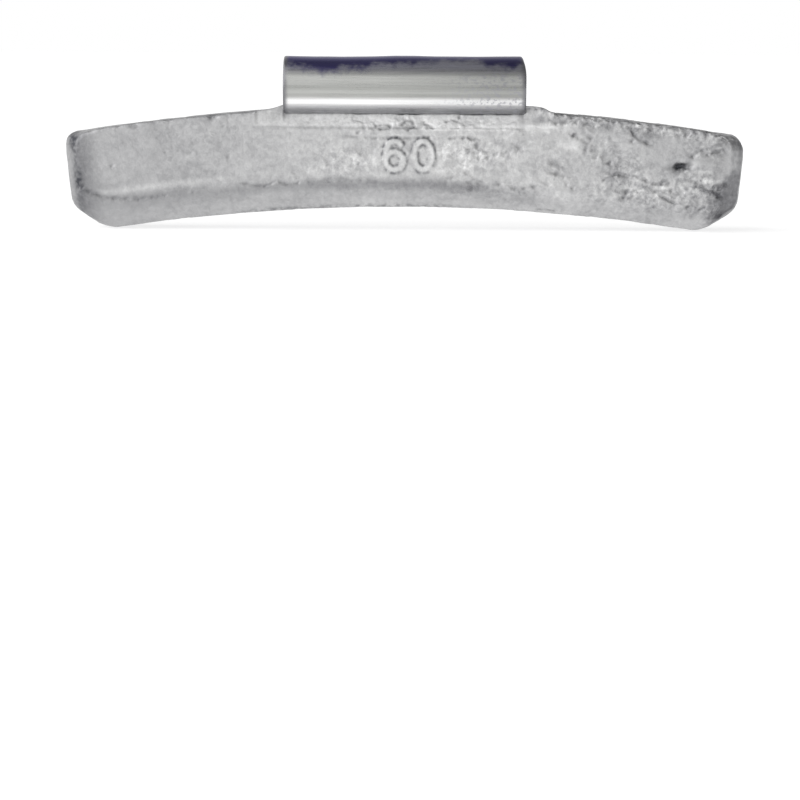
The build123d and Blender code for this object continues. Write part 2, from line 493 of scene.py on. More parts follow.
# %% Drill the tang
radius = add_node(tree, MATH, DIVIDE, {0: given["Hole diameter"], 1: 2.0})
drill = add_node(tree, "GeometryNodeMeshCylinder", inputs={
    "Vertices": 48, "Radius": radius, "Depth": 3 * strip_thickness})
step = add_node(tree, "ShaderNodeCombineXYZ", inputs={"X": given["Hole pitch"]})
row = add_node(tree, "GeometryNodeMeshLine", inputs={
    "Count": given["Holes"], "Start Location": given["First hole"], "Offset": step})
drills = add_node(tree, "GeometryNodeInstanceOnPoints", inputs={
    "Points": row, "Instance": drill, "Rotation": (math.pi / 2, 0, 0)})
solid = add_node(tree, "GeometryNodeRealizeInstances", inputs={0: drills})
drilled = add_node(tree, "GeometryNodeMeshBoolean", {"operation": "DIFFERENCE"}, {
    "Mesh 1": wavered, "Mesh 2": solid})
close_tree(tree, drilled, given["Steel"])
clip_mesh = run_tree(tree, clip_sizes, bpy.data.meshes.new("clip_start"))
print("strip:", len(clip_mesh.vertices), "points")

# %% [markdown]
# The grip's two free corners are rounded, so that they don't dig into the rim. Each row of points near
# the tip is drawn in towards the middle, by as much as the corner's circle asks at that distance. The
# shear ran a little out of square at the right, so that edge leans in over the crown, and the former
# pressed the crown a little low on both sides of its middle.

# %% Round the grip's corners and place the clip
def read_points(mesh):
    """Places and normals of a mesh's points, as arrays."""
    places, normals = np.empty(len(mesh.vertices) * 3), np.empty(len(mesh.vertices) * 3)
    mesh.vertices.foreach_get("co", places)
    mesh.vertex_normals.foreach_get("vector", normals)
    return places.reshape(-1, 3), normals.reshape(-1, 3)


grip_corner_radius, shear_lean, sharp_angle = 1.2, 0.4, 40
dip_x = (-12, -9, -6, -3, -1, 1, 3, 7, 11)
dip_z = (0.07, 0.12, 0.12, 0.07, 0, 0, 0.05, 0.06, 0.02)
places, _ = read_points(clip_mesh)
from_tip = np.clip(clip_high.y - places[:, 1], 0, grip_corner_radius)
drawn_in = grip_corner_radius - np.sqrt(grip_corner_radius**2 - (grip_corner_radius - from_tip) ** 2)
on_grip = places[:, 2] > hook_inner / 2
places[:, 0] *= np.where(on_grip, 1 - drawn_in / (strip_width / 2), 1)
over_crown = np.clip((places[:, 2] - hook_inner / 2) / (hook_outer - hook_inner / 2), 0, 1)
places[:, 0] -= shear_lean * over_crown**2 * np.clip(places[:, 0] / (strip_width / 2), 0, 1)
places[:, 2] -= np.interp(places[:, 0], dip_x, dip_z) * over_crown**2
places = np.clip(places, clip_low, clip_high)
clip_mesh.vertices.foreach_set("co", (places * MM).ravel())
clip_mesh.shade_smooth()
clip_mesh.set_sharp_from_angle(angle=math.radians(sharp_angle))
clip_mesh.update()
clip = place_object("spring_clip_strip", clip_mesh)
for guide in (line_curve, section_curve):
    bpy.data.objects.remove(guide)
print("clip box in mm:", places.min(0).round(2), places.max(0).round(2))

# %% [markdown]
# ## The casting's shape
# The CAD body has the right form and no skin. A casting's skin is uneven: the lead freezes in waves,
# folds over itself in cold laps, and traps air in pits. Bump alone would leave the outline and the STL
# file smooth, so the skin is real relief here. A merged copy of the CAD mesh is remeshed to small even
# quads, and the front, which carries the most detail, is divided once more. The die is worn at its ends,
# so the edges there are smoothed until they are soft.

# %% Even quads from the CAD body
quad_size = 0.24
start_mesh = frame["nodes"]["cast_weight"].data.copy()
start_mesh.materials.clear()
shape = bmesh.new()
shape.from_mesh(start_mesh)
bmesh.ops.remove_doubles(shape, verts=shape.verts, dist=1e-6)
bmesh.ops.scale(shape, verts=shape.verts, vec=(1 / MM, 1 / MM, 1 / MM))
shape.to_mesh(start_mesh)
shape.free()
holder = place_object("holder", start_mesh)
voxels = holder.modifiers.new("even_quads", "REMESH")
voxels.mode, voxels.voxel_size = "VOXEL", quad_size
even_mesh = plain_mesh(holder)
print("casting:", len(even_mesh.polygons), "even quads")

# %% Finer front and worn ends
worn_x, worn_passes, facing_front = 31.0, 12, -0.35


def soften(shape, points, passes):
    """Draws points towards their neighbours, which rounds the edges that they lie on."""
    for _ in range(passes):
        bmesh.ops.smooth_vert(shape, verts=points, factor=0.5,
                              use_axis_x=True, use_axis_y=True, use_axis_z=True)


shape = bmesh.new()
shape.from_mesh(even_mesh)
shape.normal_update()
front_faces = [f for f in shape.faces if f.normal.y < facing_front and f.calc_center_median().y < 0]
front_edges = list({edge for face in front_faces for edge in face.edges})
bmesh.ops.subdivide_edges(shape, edges=front_edges, cuts=1, use_grid_fill=True)
worn = [v for v in shape.verts if abs(v.co.x) > worn_x and v.co.y < 1]
soften(shape, worn, worn_passes)
shape.to_mesh(even_mesh)
shape.free()
print(len(front_faces), "faces divided on the front,", len(worn), "points worn")

# %% [markdown]
# The skin isn't equally rough all over. It is smooth at the left, livelier in the middle next to the
# gate, and roughest at the right end and along the top edge there, where the lead arrived cold. That map
# is worked out once, from smooth steps and soft spots, and the node tree and the finish both use it.
# Heights on the front are counted from the bevel's ridge, straight away from the axle.

# %% Steps, spots and maps
def smooth(value, low, high):
    """0 below low, 1 above high, and a smooth slope between."""
    t = np.clip((value - low) / (high - low), 0, 1)
    return t * t * (3 - 2 * t)


def near(value, reach):
    """1 where the value is 0, falling off smoothly over the reach."""
    return np.exp(-(value / reach) ** 2)


def spot(centre_x, centre_z, half_x, half_z):
    """1 at a place on the front, falling off smoothly over half_x and half_z."""
    return near(x - centre_x, half_x) * near(z - centre_z, half_z)


def write_map(mesh, label, values):
    """Keeps one number for each point on the mesh."""
    mesh.attributes.new(label, "FLOAT", "POINT").data.foreach_set("value", values.astype(np.float32))


seat_radius, ridge_radius = 200.0, 192.0
axle_z = body_high.z - math.sqrt(seat_radius**2 - (strip_width / 2) ** 2)
print("axle at z", round(axle_z, 2), "mm")

# %% A map of how rough the skin is
places, normals = read_points(even_mesh)
x, y, z = places.T
above_ridge = np.hypot(x, z - axle_z) - ridge_radius
rough = 0.38 + 0.2 * smooth(x, -27, -22) + 0.14 * smooth(x, -14, -2) + 0.12 * smooth(x, 8, 22)
rough += 0.8 * smooth(above_ridge, 6.4, 7.2) * smooth(x, 12, 15)
for rougher, place in (
        (0.8, (-6.0, -7.4, 3.0, 1.6)), (0.8, (6.5, -6.4, 4.0, 1.8)), (0.5, (15.2, -7.9, 1.2, 1.4)),
        (0.5, (19.3, -6.0, 1.3, 1.0)), (0.7, (22.2, -7.6, 1.6, 1.4)), (0.9, (25.0, -10.4, 5.0, 1.4)),
        (0.6, (30.3, -6.2, 1.8, 0.9)), (0.6, (29.8, -9.6, 1.4, 1.4)), (-0.5, (30.0, -7.5, 1.6, 0.6)),
        (-0.3, (25.2, -6.4, 2.2, 1.4)), (0.5, (2.0, -3.4, 7.0, 0.6)), (-1.0, (25.95, -9.82, 0.5, 0.4)),
        (-0.3, (16.9, -5.6, 0.9, 0.7))):
    rough += rougher * spot(*place)
rough *= 1 - 0.6 * smooth(x, 31.4, 32.6)
rough *= 1 - 0.5 * near(above_ridge, 0.7) * (1 - smooth(x, 2, 8))
rough *= 1 - 0.3 * smooth(-above_ridge, 0.4, 1.0)
rough = np.clip(rough, 0.2, None)
rough = np.where(normals[:, 1] > 0.2, 0.5, rough)
write_map(even_mesh, "rough", rough)
print("roughness map from", rough.min().round(2), "to", rough.max().round(2))

# %% [markdown]
# ## Lead, as cast
# Wheel-weight lead carries some antimony, and is poured into a steel die. It comes out a soft, light
# grey. It is bare metal with a fine frosty grain, so the finish is a rough metal whose grey is mottled at
# three scales. Maps that the shaping below writes say where the grey is lighter or darker, partly as
# painted light and shade; where dirt and painted shade darken it, in pits, laps and along edges; and where
# it is matt, as on the slope under the hook. The real frost is finer than a pixel, so it is drawn as
# coarse as it needs to show.

# %% Lead finish
lead = bpy.data.materials.new("lead_antimony_as_cast")
tree = empty_tree(lead)
place = add_node(tree, "ShaderNodeTexCoord").outputs["Object"]
tone_and_painted_light_map, roughness_map, dirt_and_shade_map, matt_map = (
    add_node(tree, "ShaderNodeAttribute", {"attribute_name": label}).outputs["Fac"]
    for label in ("tone_and_painted_light", "rough", "grime", "matt"))
cloud_mm, blotch_mm, speck_mm, frost_mm, matt_more = 8.0, 1.5, 0.45, 0.22, 0.18
mottle = add_node(tree, MATH, ADD, {0: tone_and_painted_light_map, 1: 0.5})
noises = []
for size_mm, detail, strength in ((cloud_mm, 2.0, 0.3), (blotch_mm, 5.0, 0.55), (speck_mm, 3.0, 0.8)):
    noises.append(add_node(tree, NOISE, inputs={
        "Vector": place, "Scale": 1 / (size_mm * MM), "Detail": detail,
        "Roughness": 0.6, "Distortion": 0.4}))
    swing = add_node(tree, MATH, MULTIPLY_ADD, {0: noises[-1], 1: strength, 2: -strength / 2})
    mottle = add_node(tree, MATH, MULTIPLY_ADD, {0: swing, 1: roughness_map, 2: mottle})
skin = add_node(tree, "ShaderNodeValToRGB", inputs={"Fac": mottle}, stops=[
    (0.0, "646467"), (0.25, "98989A"), (0.5, "BCBCBD"), (0.75, "D6D6D6"), (1.0, "F2F2F2")])
# Dirt and painted shade take the grey towards a dark grey.
dirt_and_shade_mix = add_node(tree, "ShaderNodeMix", COLOURS, {0: dirt_and_shade_map, 6: skin, 7: linear("4C4D52")})
dull = add_node(tree, RANGE, inputs={
    "Value": noises[1], "From Min": 0.3, "From Max": 0.7, "To Min": 0.54, "To Max": 0.42})
dull = add_node(tree, MATH, MULTIPLY_ADD, {0: matt_map, 1: matt_more, 2: dull})
frost = add_node(tree, NOISE, inputs={
    "Vector": place, "Scale": 1 / (frost_mm * MM), "Detail": 2.0, "Roughness": 0.7})
grain = add_node(tree, MATH, MULTIPLY_ADD, {0: noises[2], 1: 2.0, 2: frost})
frosted = add_node(tree, "ShaderNodeBump", inputs={"Strength": 0.45, "Distance": 0.04 * MM, "Height": grain})
metal = add_node(tree, "ShaderNodeBsdfPrincipled", inputs={
    "Base Color": dirt_and_shade_mix.outputs[2], "Metallic": 1.0, "Roughness": dull, "Normal": frosted})
add_node(tree, "ShaderNodeOutputMaterial", inputs={"Surface": metal})
print("lead:", len(tree.nodes), "nodes")

# %% [markdown]
# ## The cast skin
# Waves, grain, laps and pits cover the whole casting and follow its surface, so a node tree makes them.
# Two noises press the skin in, one draws the laps, and a slow one says in which patches the laps and pits
# lie. All sizes are named inputs of the tree, in millimetres.

# %% Skin tree: sizes and noises
skin_sizes = {
    "Wave length": 4.0, "Wave depth": 0.1, "Grain length": 0.5, "Grain depth": 0.09,
    "Lap length": 1.8, "Lap share": 0.06, "Lap depth": 0.07,
    "Pit spacing": 1.1, "Pit width": 0.5, "Pit depth": 0.14, "Patch length": 4.0, "Seed": 7.0, "Lead": lead,
}
tree, given = open_tree("cast_skin", skin_sizes)
place = add_node(tree, "GeometryNodeInputPosition").outputs[0]
roughness_map = add_node(tree, "GeometryNodeInputNamedAttribute", {"data_type": "FLOAT"}, {"Name": "rough"})
noises = {}
for label, detail in (
        ("Wave length", 2.0), ("Grain length", 2.0), ("Lap length", 4.0), ("Patch length", 1.0)):
    per_mm = add_node(tree, MATH, DIVIDE, {0: 1.0, 1: given[label]})
    noises[label] = add_node(tree, NOISE, {"noise_dimensions": "4D"}, {
        "Vector": place, "W": given["Seed"], "Scale": per_mm, "Detail": detail})
patch = add_node(tree, RANGE, SMOOTHSTEP, {
    "Value": noises["Patch length"], "From Min": 0.42, "From Max": 0.58})
patchy = add_node(tree, MATH, MULTIPLY, {0: patch, 1: roughness_map})
print("skin tree:", len(skin_sizes), "inputs,", len(noises), "noises")

# %% [markdown]
# A lap is where the skin folds: it steps down along a line, with a crease at the step's foot. A noise
# crosses its middle value along curling lines, and that is where the laps are put. The pits are the
# middles of the cells of a Voronoi pattern.

# %% Skin tree: laps and pits
from_edge = add_node(tree, MATH, SUBTRACT, {0: noises["Lap length"], 1: 0.5})
either_side = add_node(tree, MATH, ABSOLUTE, {0: from_edge})
crease = add_node(tree, RANGE, SMOOTHSTEP, {
    "Value": either_side, "From Max": given["Lap share"], "To Min": 1.0, "To Max": 0.0})
step = add_node(tree, RANGE, SMOOTHSTEP, {
    "Value": from_edge, "From Min": 0.0, "From Max": given["Lap share"]})
lap = add_node(tree, MATH, ADD, {0: crease, 1: step})
lap = add_node(tree, MATH, MULTIPLY, {0: lap, 1: patchy})
per_mm = add_node(tree, MATH, DIVIDE, {0: 1.0, 1: given["Pit spacing"]})
cells = add_node(tree, "ShaderNodeTexVoronoi", {"voronoi_dimensions": "4D"}, {
    "Vector": place, "W": given["Seed"], "Scale": per_mm})
rim = add_node(tree, MATH, MULTIPLY, {0: given["Pit width"], 1: 0.5})
rim = add_node(tree, MATH, MULTIPLY, {0: rim, 1: per_mm})
pit = add_node(tree, RANGE, SMOOTHSTEP, {"Value": cells, "From Max": rim, "To Min": 1.0, "To Max": 0.0})
pit = add_node(tree, MATH, MULTIPLY, {0: pit, 1: patchy})
print("skin tree:", len(tree.nodes), "nodes with laps and pits")

# %% [markdown]
# Every move is inwards, because the CAD body is the size of the die. The laps and pits are kept as a map
# of dirt and painted shade for the finish, and so are two of the noises, which make the marks below ragged.

# %% Skin tree: press the skin in
depth = add_node(tree, MATH, MULTIPLY, {0: noises["Grain length"], 1: given["Grain depth"]})
depth = add_node(tree, MATH, MULTIPLY, {0: depth, 1: roughness_map})
for shape_node, size in ((noises["Wave length"], "Wave depth"), (lap, "Lap depth"), (pit, "Pit depth")):
    depth = add_node(tree, MATH, MULTIPLY_ADD, {0: shape_node, 1: given[size], 2: depth})
inwards = add_node(tree, MATH, MULTIPLY, {0: depth, 1: -1.0})
normal = add_node(tree, "GeometryNodeInputNormal")
offset = add_node(tree, "ShaderNodeVectorMath", SCALE, {0: normal, "Scale": inwards})
# Laps and pits are kept as a map of dirt and painted shade in their hollows.
dirt_and_painted_shade = add_node(tree, MATH, MULTIPLY_ADD, {0: lap, 1: 0.12, 2: pit})
kept = given["Geometry"]
for label, value in (("grime", dirt_and_painted_shade), ("grain", noises["Grain length"]), ("patch", noises["Lap length"])):
    kept = add_node(tree, "GeometryNodeStoreNamedAttribute", {"data_type": "FLOAT", "domain": "POINT"}, {
        "Geometry": kept, "Name": label, "Value": value})
pressed = add_node(tree, "GeometryNodeSetPosition", inputs={"Geometry": kept, "Offset": offset})
close_tree(tree, pressed, given["Lead"])
casting_mesh = run_tree(tree, skin_sizes, even_mesh)
print("cast skin on", len(casting_mesh.vertices), "points")

# %% [markdown]
# ## Marks of the pour
# Some marks are this casting's own: one deep blow-hole near its right end, cold laps where two streams of
# lead met, a witness line round the die insert that holds the clip, and small feet where lead crept up
# the clip's edges. They could be painted with a sculpting brush. Here each is a short row of numbers, in
# millimetres on the front face, so that they are easy to move. A mask keeps them near the front.

# %% The front and its ragged maps
def read_map(mesh, label):
    """The numbers kept on a mesh's points, taken off it."""
    values = np.empty(len(mesh.vertices))
    mesh.attributes[label].data.foreach_get("value", values)
    mesh.attributes.remove(mesh.attributes[label])
    return values


places, normals = read_points(casting_mesh)
x, y, z = places.T
above_ridge = np.hypot(x, z - axle_z) - ridge_radius
front = smooth(-normals[:, 1], 0.15, 0.6)
near_front = smooth(-normals[:, 1], -0.3, 0.1) * (1 - smooth(y, -0.6, 1.0))
press, dirt_and_painted_shade = np.zeros(len(x)), np.zeros(len(x))
skin_dirt_and_shade = 0.55 * read_map(casting_mesh, "grime")
ragged = smooth(read_map(casting_mesh, "grain"), 0.36, 0.64)
patched = smooth(read_map(casting_mesh, "patch"), 0.4, 0.58)
print(int((front > 0.5).sum()), "points on the front")

# %% Pits of this casting
# centre x, z, length, width, lean in degrees, depth
pits = [
    (27.35, -7.78, 1.6, 0.84, 0, 0.4), (28.15, -7.7, 1.5, 0.66, 4, 0.36), (22.3, -10.3, 0.9, 0.7, 20, 0.2),
    (22.0, -10.9, 0.7, 0.5, 0, 0.18), (22.8, -10.8, 0.5, 0.5, 0, 0.16), (24.6, -9.9, 1.2, 0.5, -35, 0.08),
    (28.4, -11.8, 1.0, 0.5, 10, 0.22), (29.7, -12.0, 0.9, 0.4, 30, 0.2), (31.6, -10.7, 0.6, 0.7, 50, 0.12),
    (32.2, -9.4, 0.8, 0.5, -20, 0.16), (22.7, -5.2, 0.5, 0.4, 0, 0.16), (26.0, -9.2, 0.8, 0.5, 10, 0.16),
    (15.0, -7.4, 1.0, 0.8, 0, 0.14), (15.2, -8.5, 1.3, 0.5, -15, 0.15), (7.3, -5.7, 0.6, 1.0, 10, 0.16),
    (8.4, -6.9, 0.5, 0.4, 0, 0.16), (11.4, -5.9, 0.8, 0.5, -35, 0.14), (9.6, -9.6, 0.5, 0.4, 0, 0.14),
    (10.9, -9.9, 0.6, 0.4, 15, 0.14), (12.0, -10.0, 0.5, 0.3, 0, 0.12), (13.0, -9.8, 0.5, 0.6, 60, 0.18),
    (-19.2, -3.05, 0.9, 0.6, -12, 0.16), (-18.0, -3.9, 0.6, 0.3, 0, 0.08), (-27.0, -4.05, 1.0, 0.4, -8, 0.1),
    (-29.3, -7.9, 0.5, 0.4, 50, 0.1), (-17.6, -6.9, 0.5, 0.4, 70, 0.1), (-21.4, -6.6, 0.6, 0.4, 0, 0.06),
    (-4.6, -4.5, 0.6, 0.4, 20, 0.16), (18.6, -4.9, 0.9, 0.5, -60, 0.12), (20.6, -7.4, 0.8, 0.6, 30, 0.12),
    (16.9, -9.9, 0.7, 0.5, 70, 0.12), (16.9, -4.65, 0.5, 0.4, 0, 0.16), (4.9, -8.9, 1.2, 0.4, 15, 0.1),
]
for cx, cz, length, width, lean, depth in pits:
    c, s = math.cos(math.radians(lean)), math.sin(math.radians(lean))
    along, across = (x - cx) * c + (z - cz) * s, (z - cz) * c - (x - cx) * s
    dent = near(along, length / 2.2) * near(across, width / 2.2) * (0.6 + 0.6 * ragged)
    press += depth * dent
    # Each pit is darkened as well: dirt and painted shade in its hollow.
    dirt_and_painted_shade += min(0.7, 3.0 * depth) * dent
print(len(pits), "pits")

# %% Laps of this casting
def away_from(line):
    """Distance in the front view from every point to a line of straight runs."""
    nearest = np.full(len(x), 1e9)
    for (x0, z0), (x1, z1) in zip(line[:-1], line[1:]):
        run_x, run_z = x1 - x0, z1 - z0
        share = np.clip(((x - x0) * run_x + (z - z0) * run_z) / (run_x**2 + run_z**2), 0, 1)
        nearest = np.minimum(nearest, np.hypot(x - x0 - share * run_x, z - z0 - share * run_z))
    return nearest


# points of the lap, width, depth
laps = [
    ([(20.0, -9.1), (21.2, -8.5), (22.0, -8.6), (23.6, -8.8), (24.9, -9.4), (25.8, -9.5)], 0.3, 0.15),
    ([(25.7, -10.6), (26.4, -11.0), (27.2, -11.4)], 0.3, 0.2),
    ([(25.2, -10.15), (26.0, -10.3), (26.8, -10.1)], 0.36, 0.13),
    ([(22.7, -4.1), (23.0, -4.6), (23.5, -5.0), (24.8, -5.6)], 0.34, 0.18),
    ([(28.8, -6.7), (29.2, -6.3), (29.8, -6.1)], 0.45, 0.18),
    ([(30.3, -6.45), (31.0, -6.25), (31.9, -6.0)], 0.32, 0.16),
    ([(28.4, -9.0), (29.6, -9.4), (30.4, -9.9)], 0.3, 0.14),
    ([(-6.0, -4.8), (-3.5, -5.0), (0.0, -5.0), (2.5, -4.9)], 0.3, 0.1),
    ([(-2.8, -3.8), (-2.2, -3.65), (-1.4, -3.8), (-1.5, -4.1), (-2.4, -4.15)], 0.26, 0.16),
    ([(-0.2, -3.7), (0.2, -3.25), (0.8, -3.3), (1.0, -3.8), (0.4, -4.2)], 0.26, 0.16),
    ([(4.2, -3.4), (4.7, -3.15), (5.3, -3.35), (5.5, -3.05)], 0.26, 0.14),
    ([(2.1, -3.7), (2.5, -3.8), (2.9, -4.0)], 0.26, 0.13),
    ([(4.6, -5.0), (6.2, -4.9), (7.6, -5.2)], 0.32, 0.12),
    ([(13.6, -3.0), (15.0, -3.4), (17.5, -3.3), (19.0, -3.7)], 0.4, 0.1),
    ([(16.5, -4.4), (18.4, -5.4), (18.0, -6.4)], 0.4, 0.09),
    ([(13.4, -12.2), (14.3, -12.25), (15.2, -12.45)], 0.28, 0.12),
    ([(-16.0, -9.6), (-14.0, -9.9), (-12.6, -9.3), (-11.8, -9.7), (-10.6, -9.5)], 0.3, 0.12),
    ([(-32.9, -9.8), (-31.3, -10.6), (-29.7, -11.1), (-26.6, -11.2), (-24.0, -10.8)], 0.5, 0.12),
]
for line, width, depth in laps:
    fold = near(away_from(line), width / 2) * (0.5 + 0.7 * ragged)
    press += depth * fold
    # Each lap is darkened along its fold: dirt and painted shade in the crease.
    dirt_and_painted_shade += 2.4 * depth * fold
print(len(laps), "laps")

# %% [markdown]
# The front carries a raised figure, the weight in grams, which a fitter reads when picking a weight from
# the tray. It is cut into the die, so it belongs to the casting: the strokes lift the same skin, with
# soft edges, rather than being letters laid on top.

# %% The raised weight figure
figure_x, figure_z = 0.45, -6.75
figure_half_height, figure_half_width, figure_gap = 1.42, 0.88, 0.55
stroke_width, stroke_rise, stroke_edge = 0.56, 0.24, 0.15


def oval(cx, half_x, cz, half_z, start, end):
    """Points of an upright oval arc in the front view."""
    turned = np.radians(np.linspace(start, end, 33))
    return [(cx + half_x * math.cos(a), cz + half_z * math.sin(a)) for a in turned]


six_x = figure_x - figure_half_width - figure_gap
nought_x = figure_x + figure_half_width + figure_gap
bowl_half = 0.62 * figure_half_height
bowl_z = figure_z - figure_half_height + bowl_half
six_stem = oval(six_x, figure_half_width, figure_z, figure_half_height, 50, 180)
strokes = [
    oval(six_x, figure_half_width, bowl_z, bowl_half, 0, 360),
    six_stem + [(six_x - figure_half_width, bowl_z)],
    oval(nought_x, figure_half_width, figure_z, figure_half_height, 0, 360),
]
from_stroke = np.minimum.reduce([away_from(line) for line in strokes]) - stroke_width / 2
raised = 1 - smooth(from_stroke, -stroke_edge, stroke_edge)
foot = near(from_stroke - 0.1, 0.16)
press -= stroke_rise * raised
# The strokes' foot is darkened: dirt and painted shade round the raised figure.
dirt_and_painted_shade += (0.18 + 0.64 * ragged) * foot
print("figure on", int((raised * front > 0.5).sum()), "points")

# %% [markdown]
# The insert of the die that held the clip left a slightly proud land below it, with a witness line along
# its lower border. The insert is wider than the clip, so the slope under the hook carries on to the ends
# of the land, getting shallower, instead of ending at a wall.

# %% Witness land and the sides of the notch
land_half, land_foot_z, land_rise = 15.0, -3.95, 0.06
land = smooth(z, land_foot_z - 0.1, land_foot_z + 0.1)
land *= 1 - smooth(np.abs(x), land_half - 0.1, land_half + 0.1)
witness = near(z - land_foot_z, 0.14) * (1 - smooth(np.abs(x), land_half, land_half + 0.3))
press += 0.05 * witness - land_rise * land
dirt_and_painted_shade += 0.25 * witness * (1 - 0.7 * smooth(x, 1, 3))

notch_foot_z, notch_top_z, notch_angle = -4.06, -2.69, math.radians(55)
beside = np.abs(x) - strip_width / 2
land_run = land_half - strip_width / 2
notch_depth = (np.clip(z, notch_foot_z, notch_top_z) - notch_foot_z) / math.tan(notch_angle)
on_land = 1 - smooth(beside, land_run - 0.3, land_run)
slope_y = body_low.y + notch_depth * np.clip(1 - 0.7 * beside / land_run, 0, 1) * on_land
notch = smooth(z, notch_foot_z - 0.1, notch_foot_z + 0.2) * on_land
notch *= 1 - smooth(x, strip_width / 2 - 0.1, strip_width / 2 + 0.6)
print("slope beside the clip:", round(land_run, 2), "mm long")

# %% [markdown]
# The skin has no single grey, and painted light and shade share its map. A band of painted shade runs
# along the bevel's ridge, with a painted highlight on the crest above it at the left; both ends carry
# painted shade, the right one most at its lower corner. These tones go to the finish as one map: above 0
# is brighter, below 0 is darker.

# %% Painted shade and highlights along the ridge and at the ends
# Painted shade along the bevel's ridge and on the facet below it; a painted highlight on the crest above the
# ridge at the left, and a lighter band above the ridge at the right.
ridge_line = 0.2 - 0.15 * smooth(x, 0, 4) - 0.3 * smooth(x, 7, 10) + 0.2 * (patched - 0.5)
from_ridge = above_ridge - ridge_line
ridge = near(from_ridge, np.where(from_ridge > 0, 0.6, 0.95))
ridge *= smooth(x, -31, -26) * (1 - smooth(x, 12, 15)) * (0.38 + 0.62 * smooth(x, -19, -3))
ridge *= 1 - 0.35 * smooth(x, 7, 9)
ridge += 0.3 * near(above_ridge + 0.5, 0.5) * smooth(x, 20, 27)
under_face = near(above_ridge - 1.2, 0.5) * smooth(x, 13, 16) * (1 - smooth(x, 25, 29))
facet = smooth(-above_ridge, 0.5, 1.2) * smooth(x, -18, -11) * (1 - 0.7 * smooth(x, 13, 18))
crest = near(above_ridge - 1.45, 0.35) * smooth(-x, 16, 21) * (1 - smooth(-x, 30, 31))
# Painted shade on the right end, widest at its lower corner, and on the left end.
low = smooth(-z, 7.6, 10.4)
right_edge = 33.0 - 2.6 * low + 0.6 * (patched - 0.5) + 0.5 * (ragged - 0.5)
right_end = smooth(x, right_edge - 0.6, right_edge + 0.9) * (0.27 + 0.1 * low + 0.06 * ragged)
left_edge = -33.4 - 0.1 * (z - body_high.z)
left_end = near(x - left_edge - 0.7, 1.3)
tone_and_painted_light = 0.18 * crest + 0.1 * under_face - 0.4 * ridge - 0.1 * facet - right_end - 0.2 * left_end
print("tones from", tone_and_painted_light.min().round(2), "to", tone_and_painted_light.max().round(2))

# %% Tones of the middle, painted light under the hook, and single spots
middle = smooth(x, -22, -3) * (1 - 0.7 * smooth(x, 10, 24))
pale_line = near(z - land_foot_z + 0.2, 0.16) * smooth(x, 1, 3) * (1 - smooth(x, 9, 11))
# The land and the raised figure are a little lighter, and the middle of the front lighter still. The slope
# under the hook is painted lighter to lift the shade that falls there, and the pale line below the witness
# line is a painted highlight.
tone_and_painted_light += 0.06 * land + 0.12 * raised + 0.2 * middle + 0.25 * notch + 0.3 * pale_line - 0.03
# Among the spots: a painted highlight on the rim beside the blow-hole and on the bump below it, and painted
# shade beside the crease at the right. The others are lighter and darker patches of the skin.
for brighter, place in (
        (-0.1, (-31.5, -11.3, 2.4, 1.5)), (-0.22, (24.3, -4.7, 1.6, 0.5)), (0.26, (13.7, -4.0, 1.5, 0.5)),
        (0.12, (16.0, -3.7, 3.5, 0.5)), (0.32, (16.9, -5.6, 0.9, 0.7)), (0.12, (4.6, -6.8, 2.2, 1.8)),
        (-0.38, (13.4, -3.25, 1.2, 0.3)), (0.25, (28.95, -7.55, 0.35, 0.3)),
        (0.45, (25.95, -9.8, 0.35, 0.3))):
    tone_and_painted_light += brighter * spot(*place)
# Painted highlights: ragged bright rims on the rough patches at the right.
tone_and_painted_light += 0.3 * (ragged - 0.5) * (spot(25.0, -10.2, 5.0, 1.4) + spot(30.0, -9.0, 1.8, 1.4))
press += 0.3 * near(x - 32.4, 1.0) - 0.14 * spot(25.95, -9.82, 0.32, 0.28)
print("tones from", tone_and_painted_light.min().round(2), "to", tone_and_painted_light.max().round(2))

# %% [markdown]
# Darker marks lie along the edges. Painted shade darkens the top edge, most at the right, where the skin
# is roughest, as well as the right end and the inside corners beside the clip. A ragged darker line runs
# down the left end and along the lower edge, with darker patches at the left end and on the land right of
# the clip.

# %% Painted shade and darker marks along the edges
# Painted shade along the top edge: ragged and strongest at the right, a thin band at the left.
rough_shaded_top_edge = smooth(above_ridge, 6.9, 7.7) * smooth(x, 12, 15) * (1 - 0.5 * smooth(x, 20, 24))
left_top_edge_shade = smooth(above_ridge, 7.55, 7.85) * smooth(-x, 12, 14) * (1 - 0.5 * smooth(-x, 21, 24))
lower_edge = near(above_ridge + 2.05, 0.2) * smooth(x, -18, -15) * (1 - smooth(x, 2, 8))
left_line = near(x - left_edge, 0.5)
press += 0.12 * rough_shaded_top_edge * ragged
dirt_and_painted_shade += ragged * (0.42 * rough_shaded_top_edge + 0.5 * lower_edge)
dirt_and_painted_shade += (0.25 + 0.35 * ragged) * left_line + 0.25 * left_top_edge_shade
# Painted shade on the right end, and in the inside corner at the right end of the notch.
dirt_and_painted_shade += 0.12 * smooth(x, 33.0, 34.2) + 0.3 * spot(11.85, -3.4, 0.4, 0.9)
dirt_and_painted_shade += (0.35 + 0.3 * ragged) * (spot(-33.2, -5.3, 0.6, 1.3) + spot(-32.6, -9.3, 0.5, 1.0))
# Painted shade in the pocket under the clip's left corner, and a ragged darker patch on the land right of
# the clip.
dirt_and_painted_shade += 0.25 * spot(-12.5, -2.75, 0.7, 0.5) + (0.3 + 0.4 * ragged) * spot(13.1, -2.5, 1.3, 0.25)
print("dirt on", int((dirt_and_painted_shade > 0.3).sum()), "points")

# %% [markdown]
# Where the molten lead met the cold clip it crept: up both edges of the strip in small feet, and against
# the hook, the tang's bend and the strip's sides, so that no gap shows. Here those points are drawn to
# the steel. The body's left top corner filled sharply.

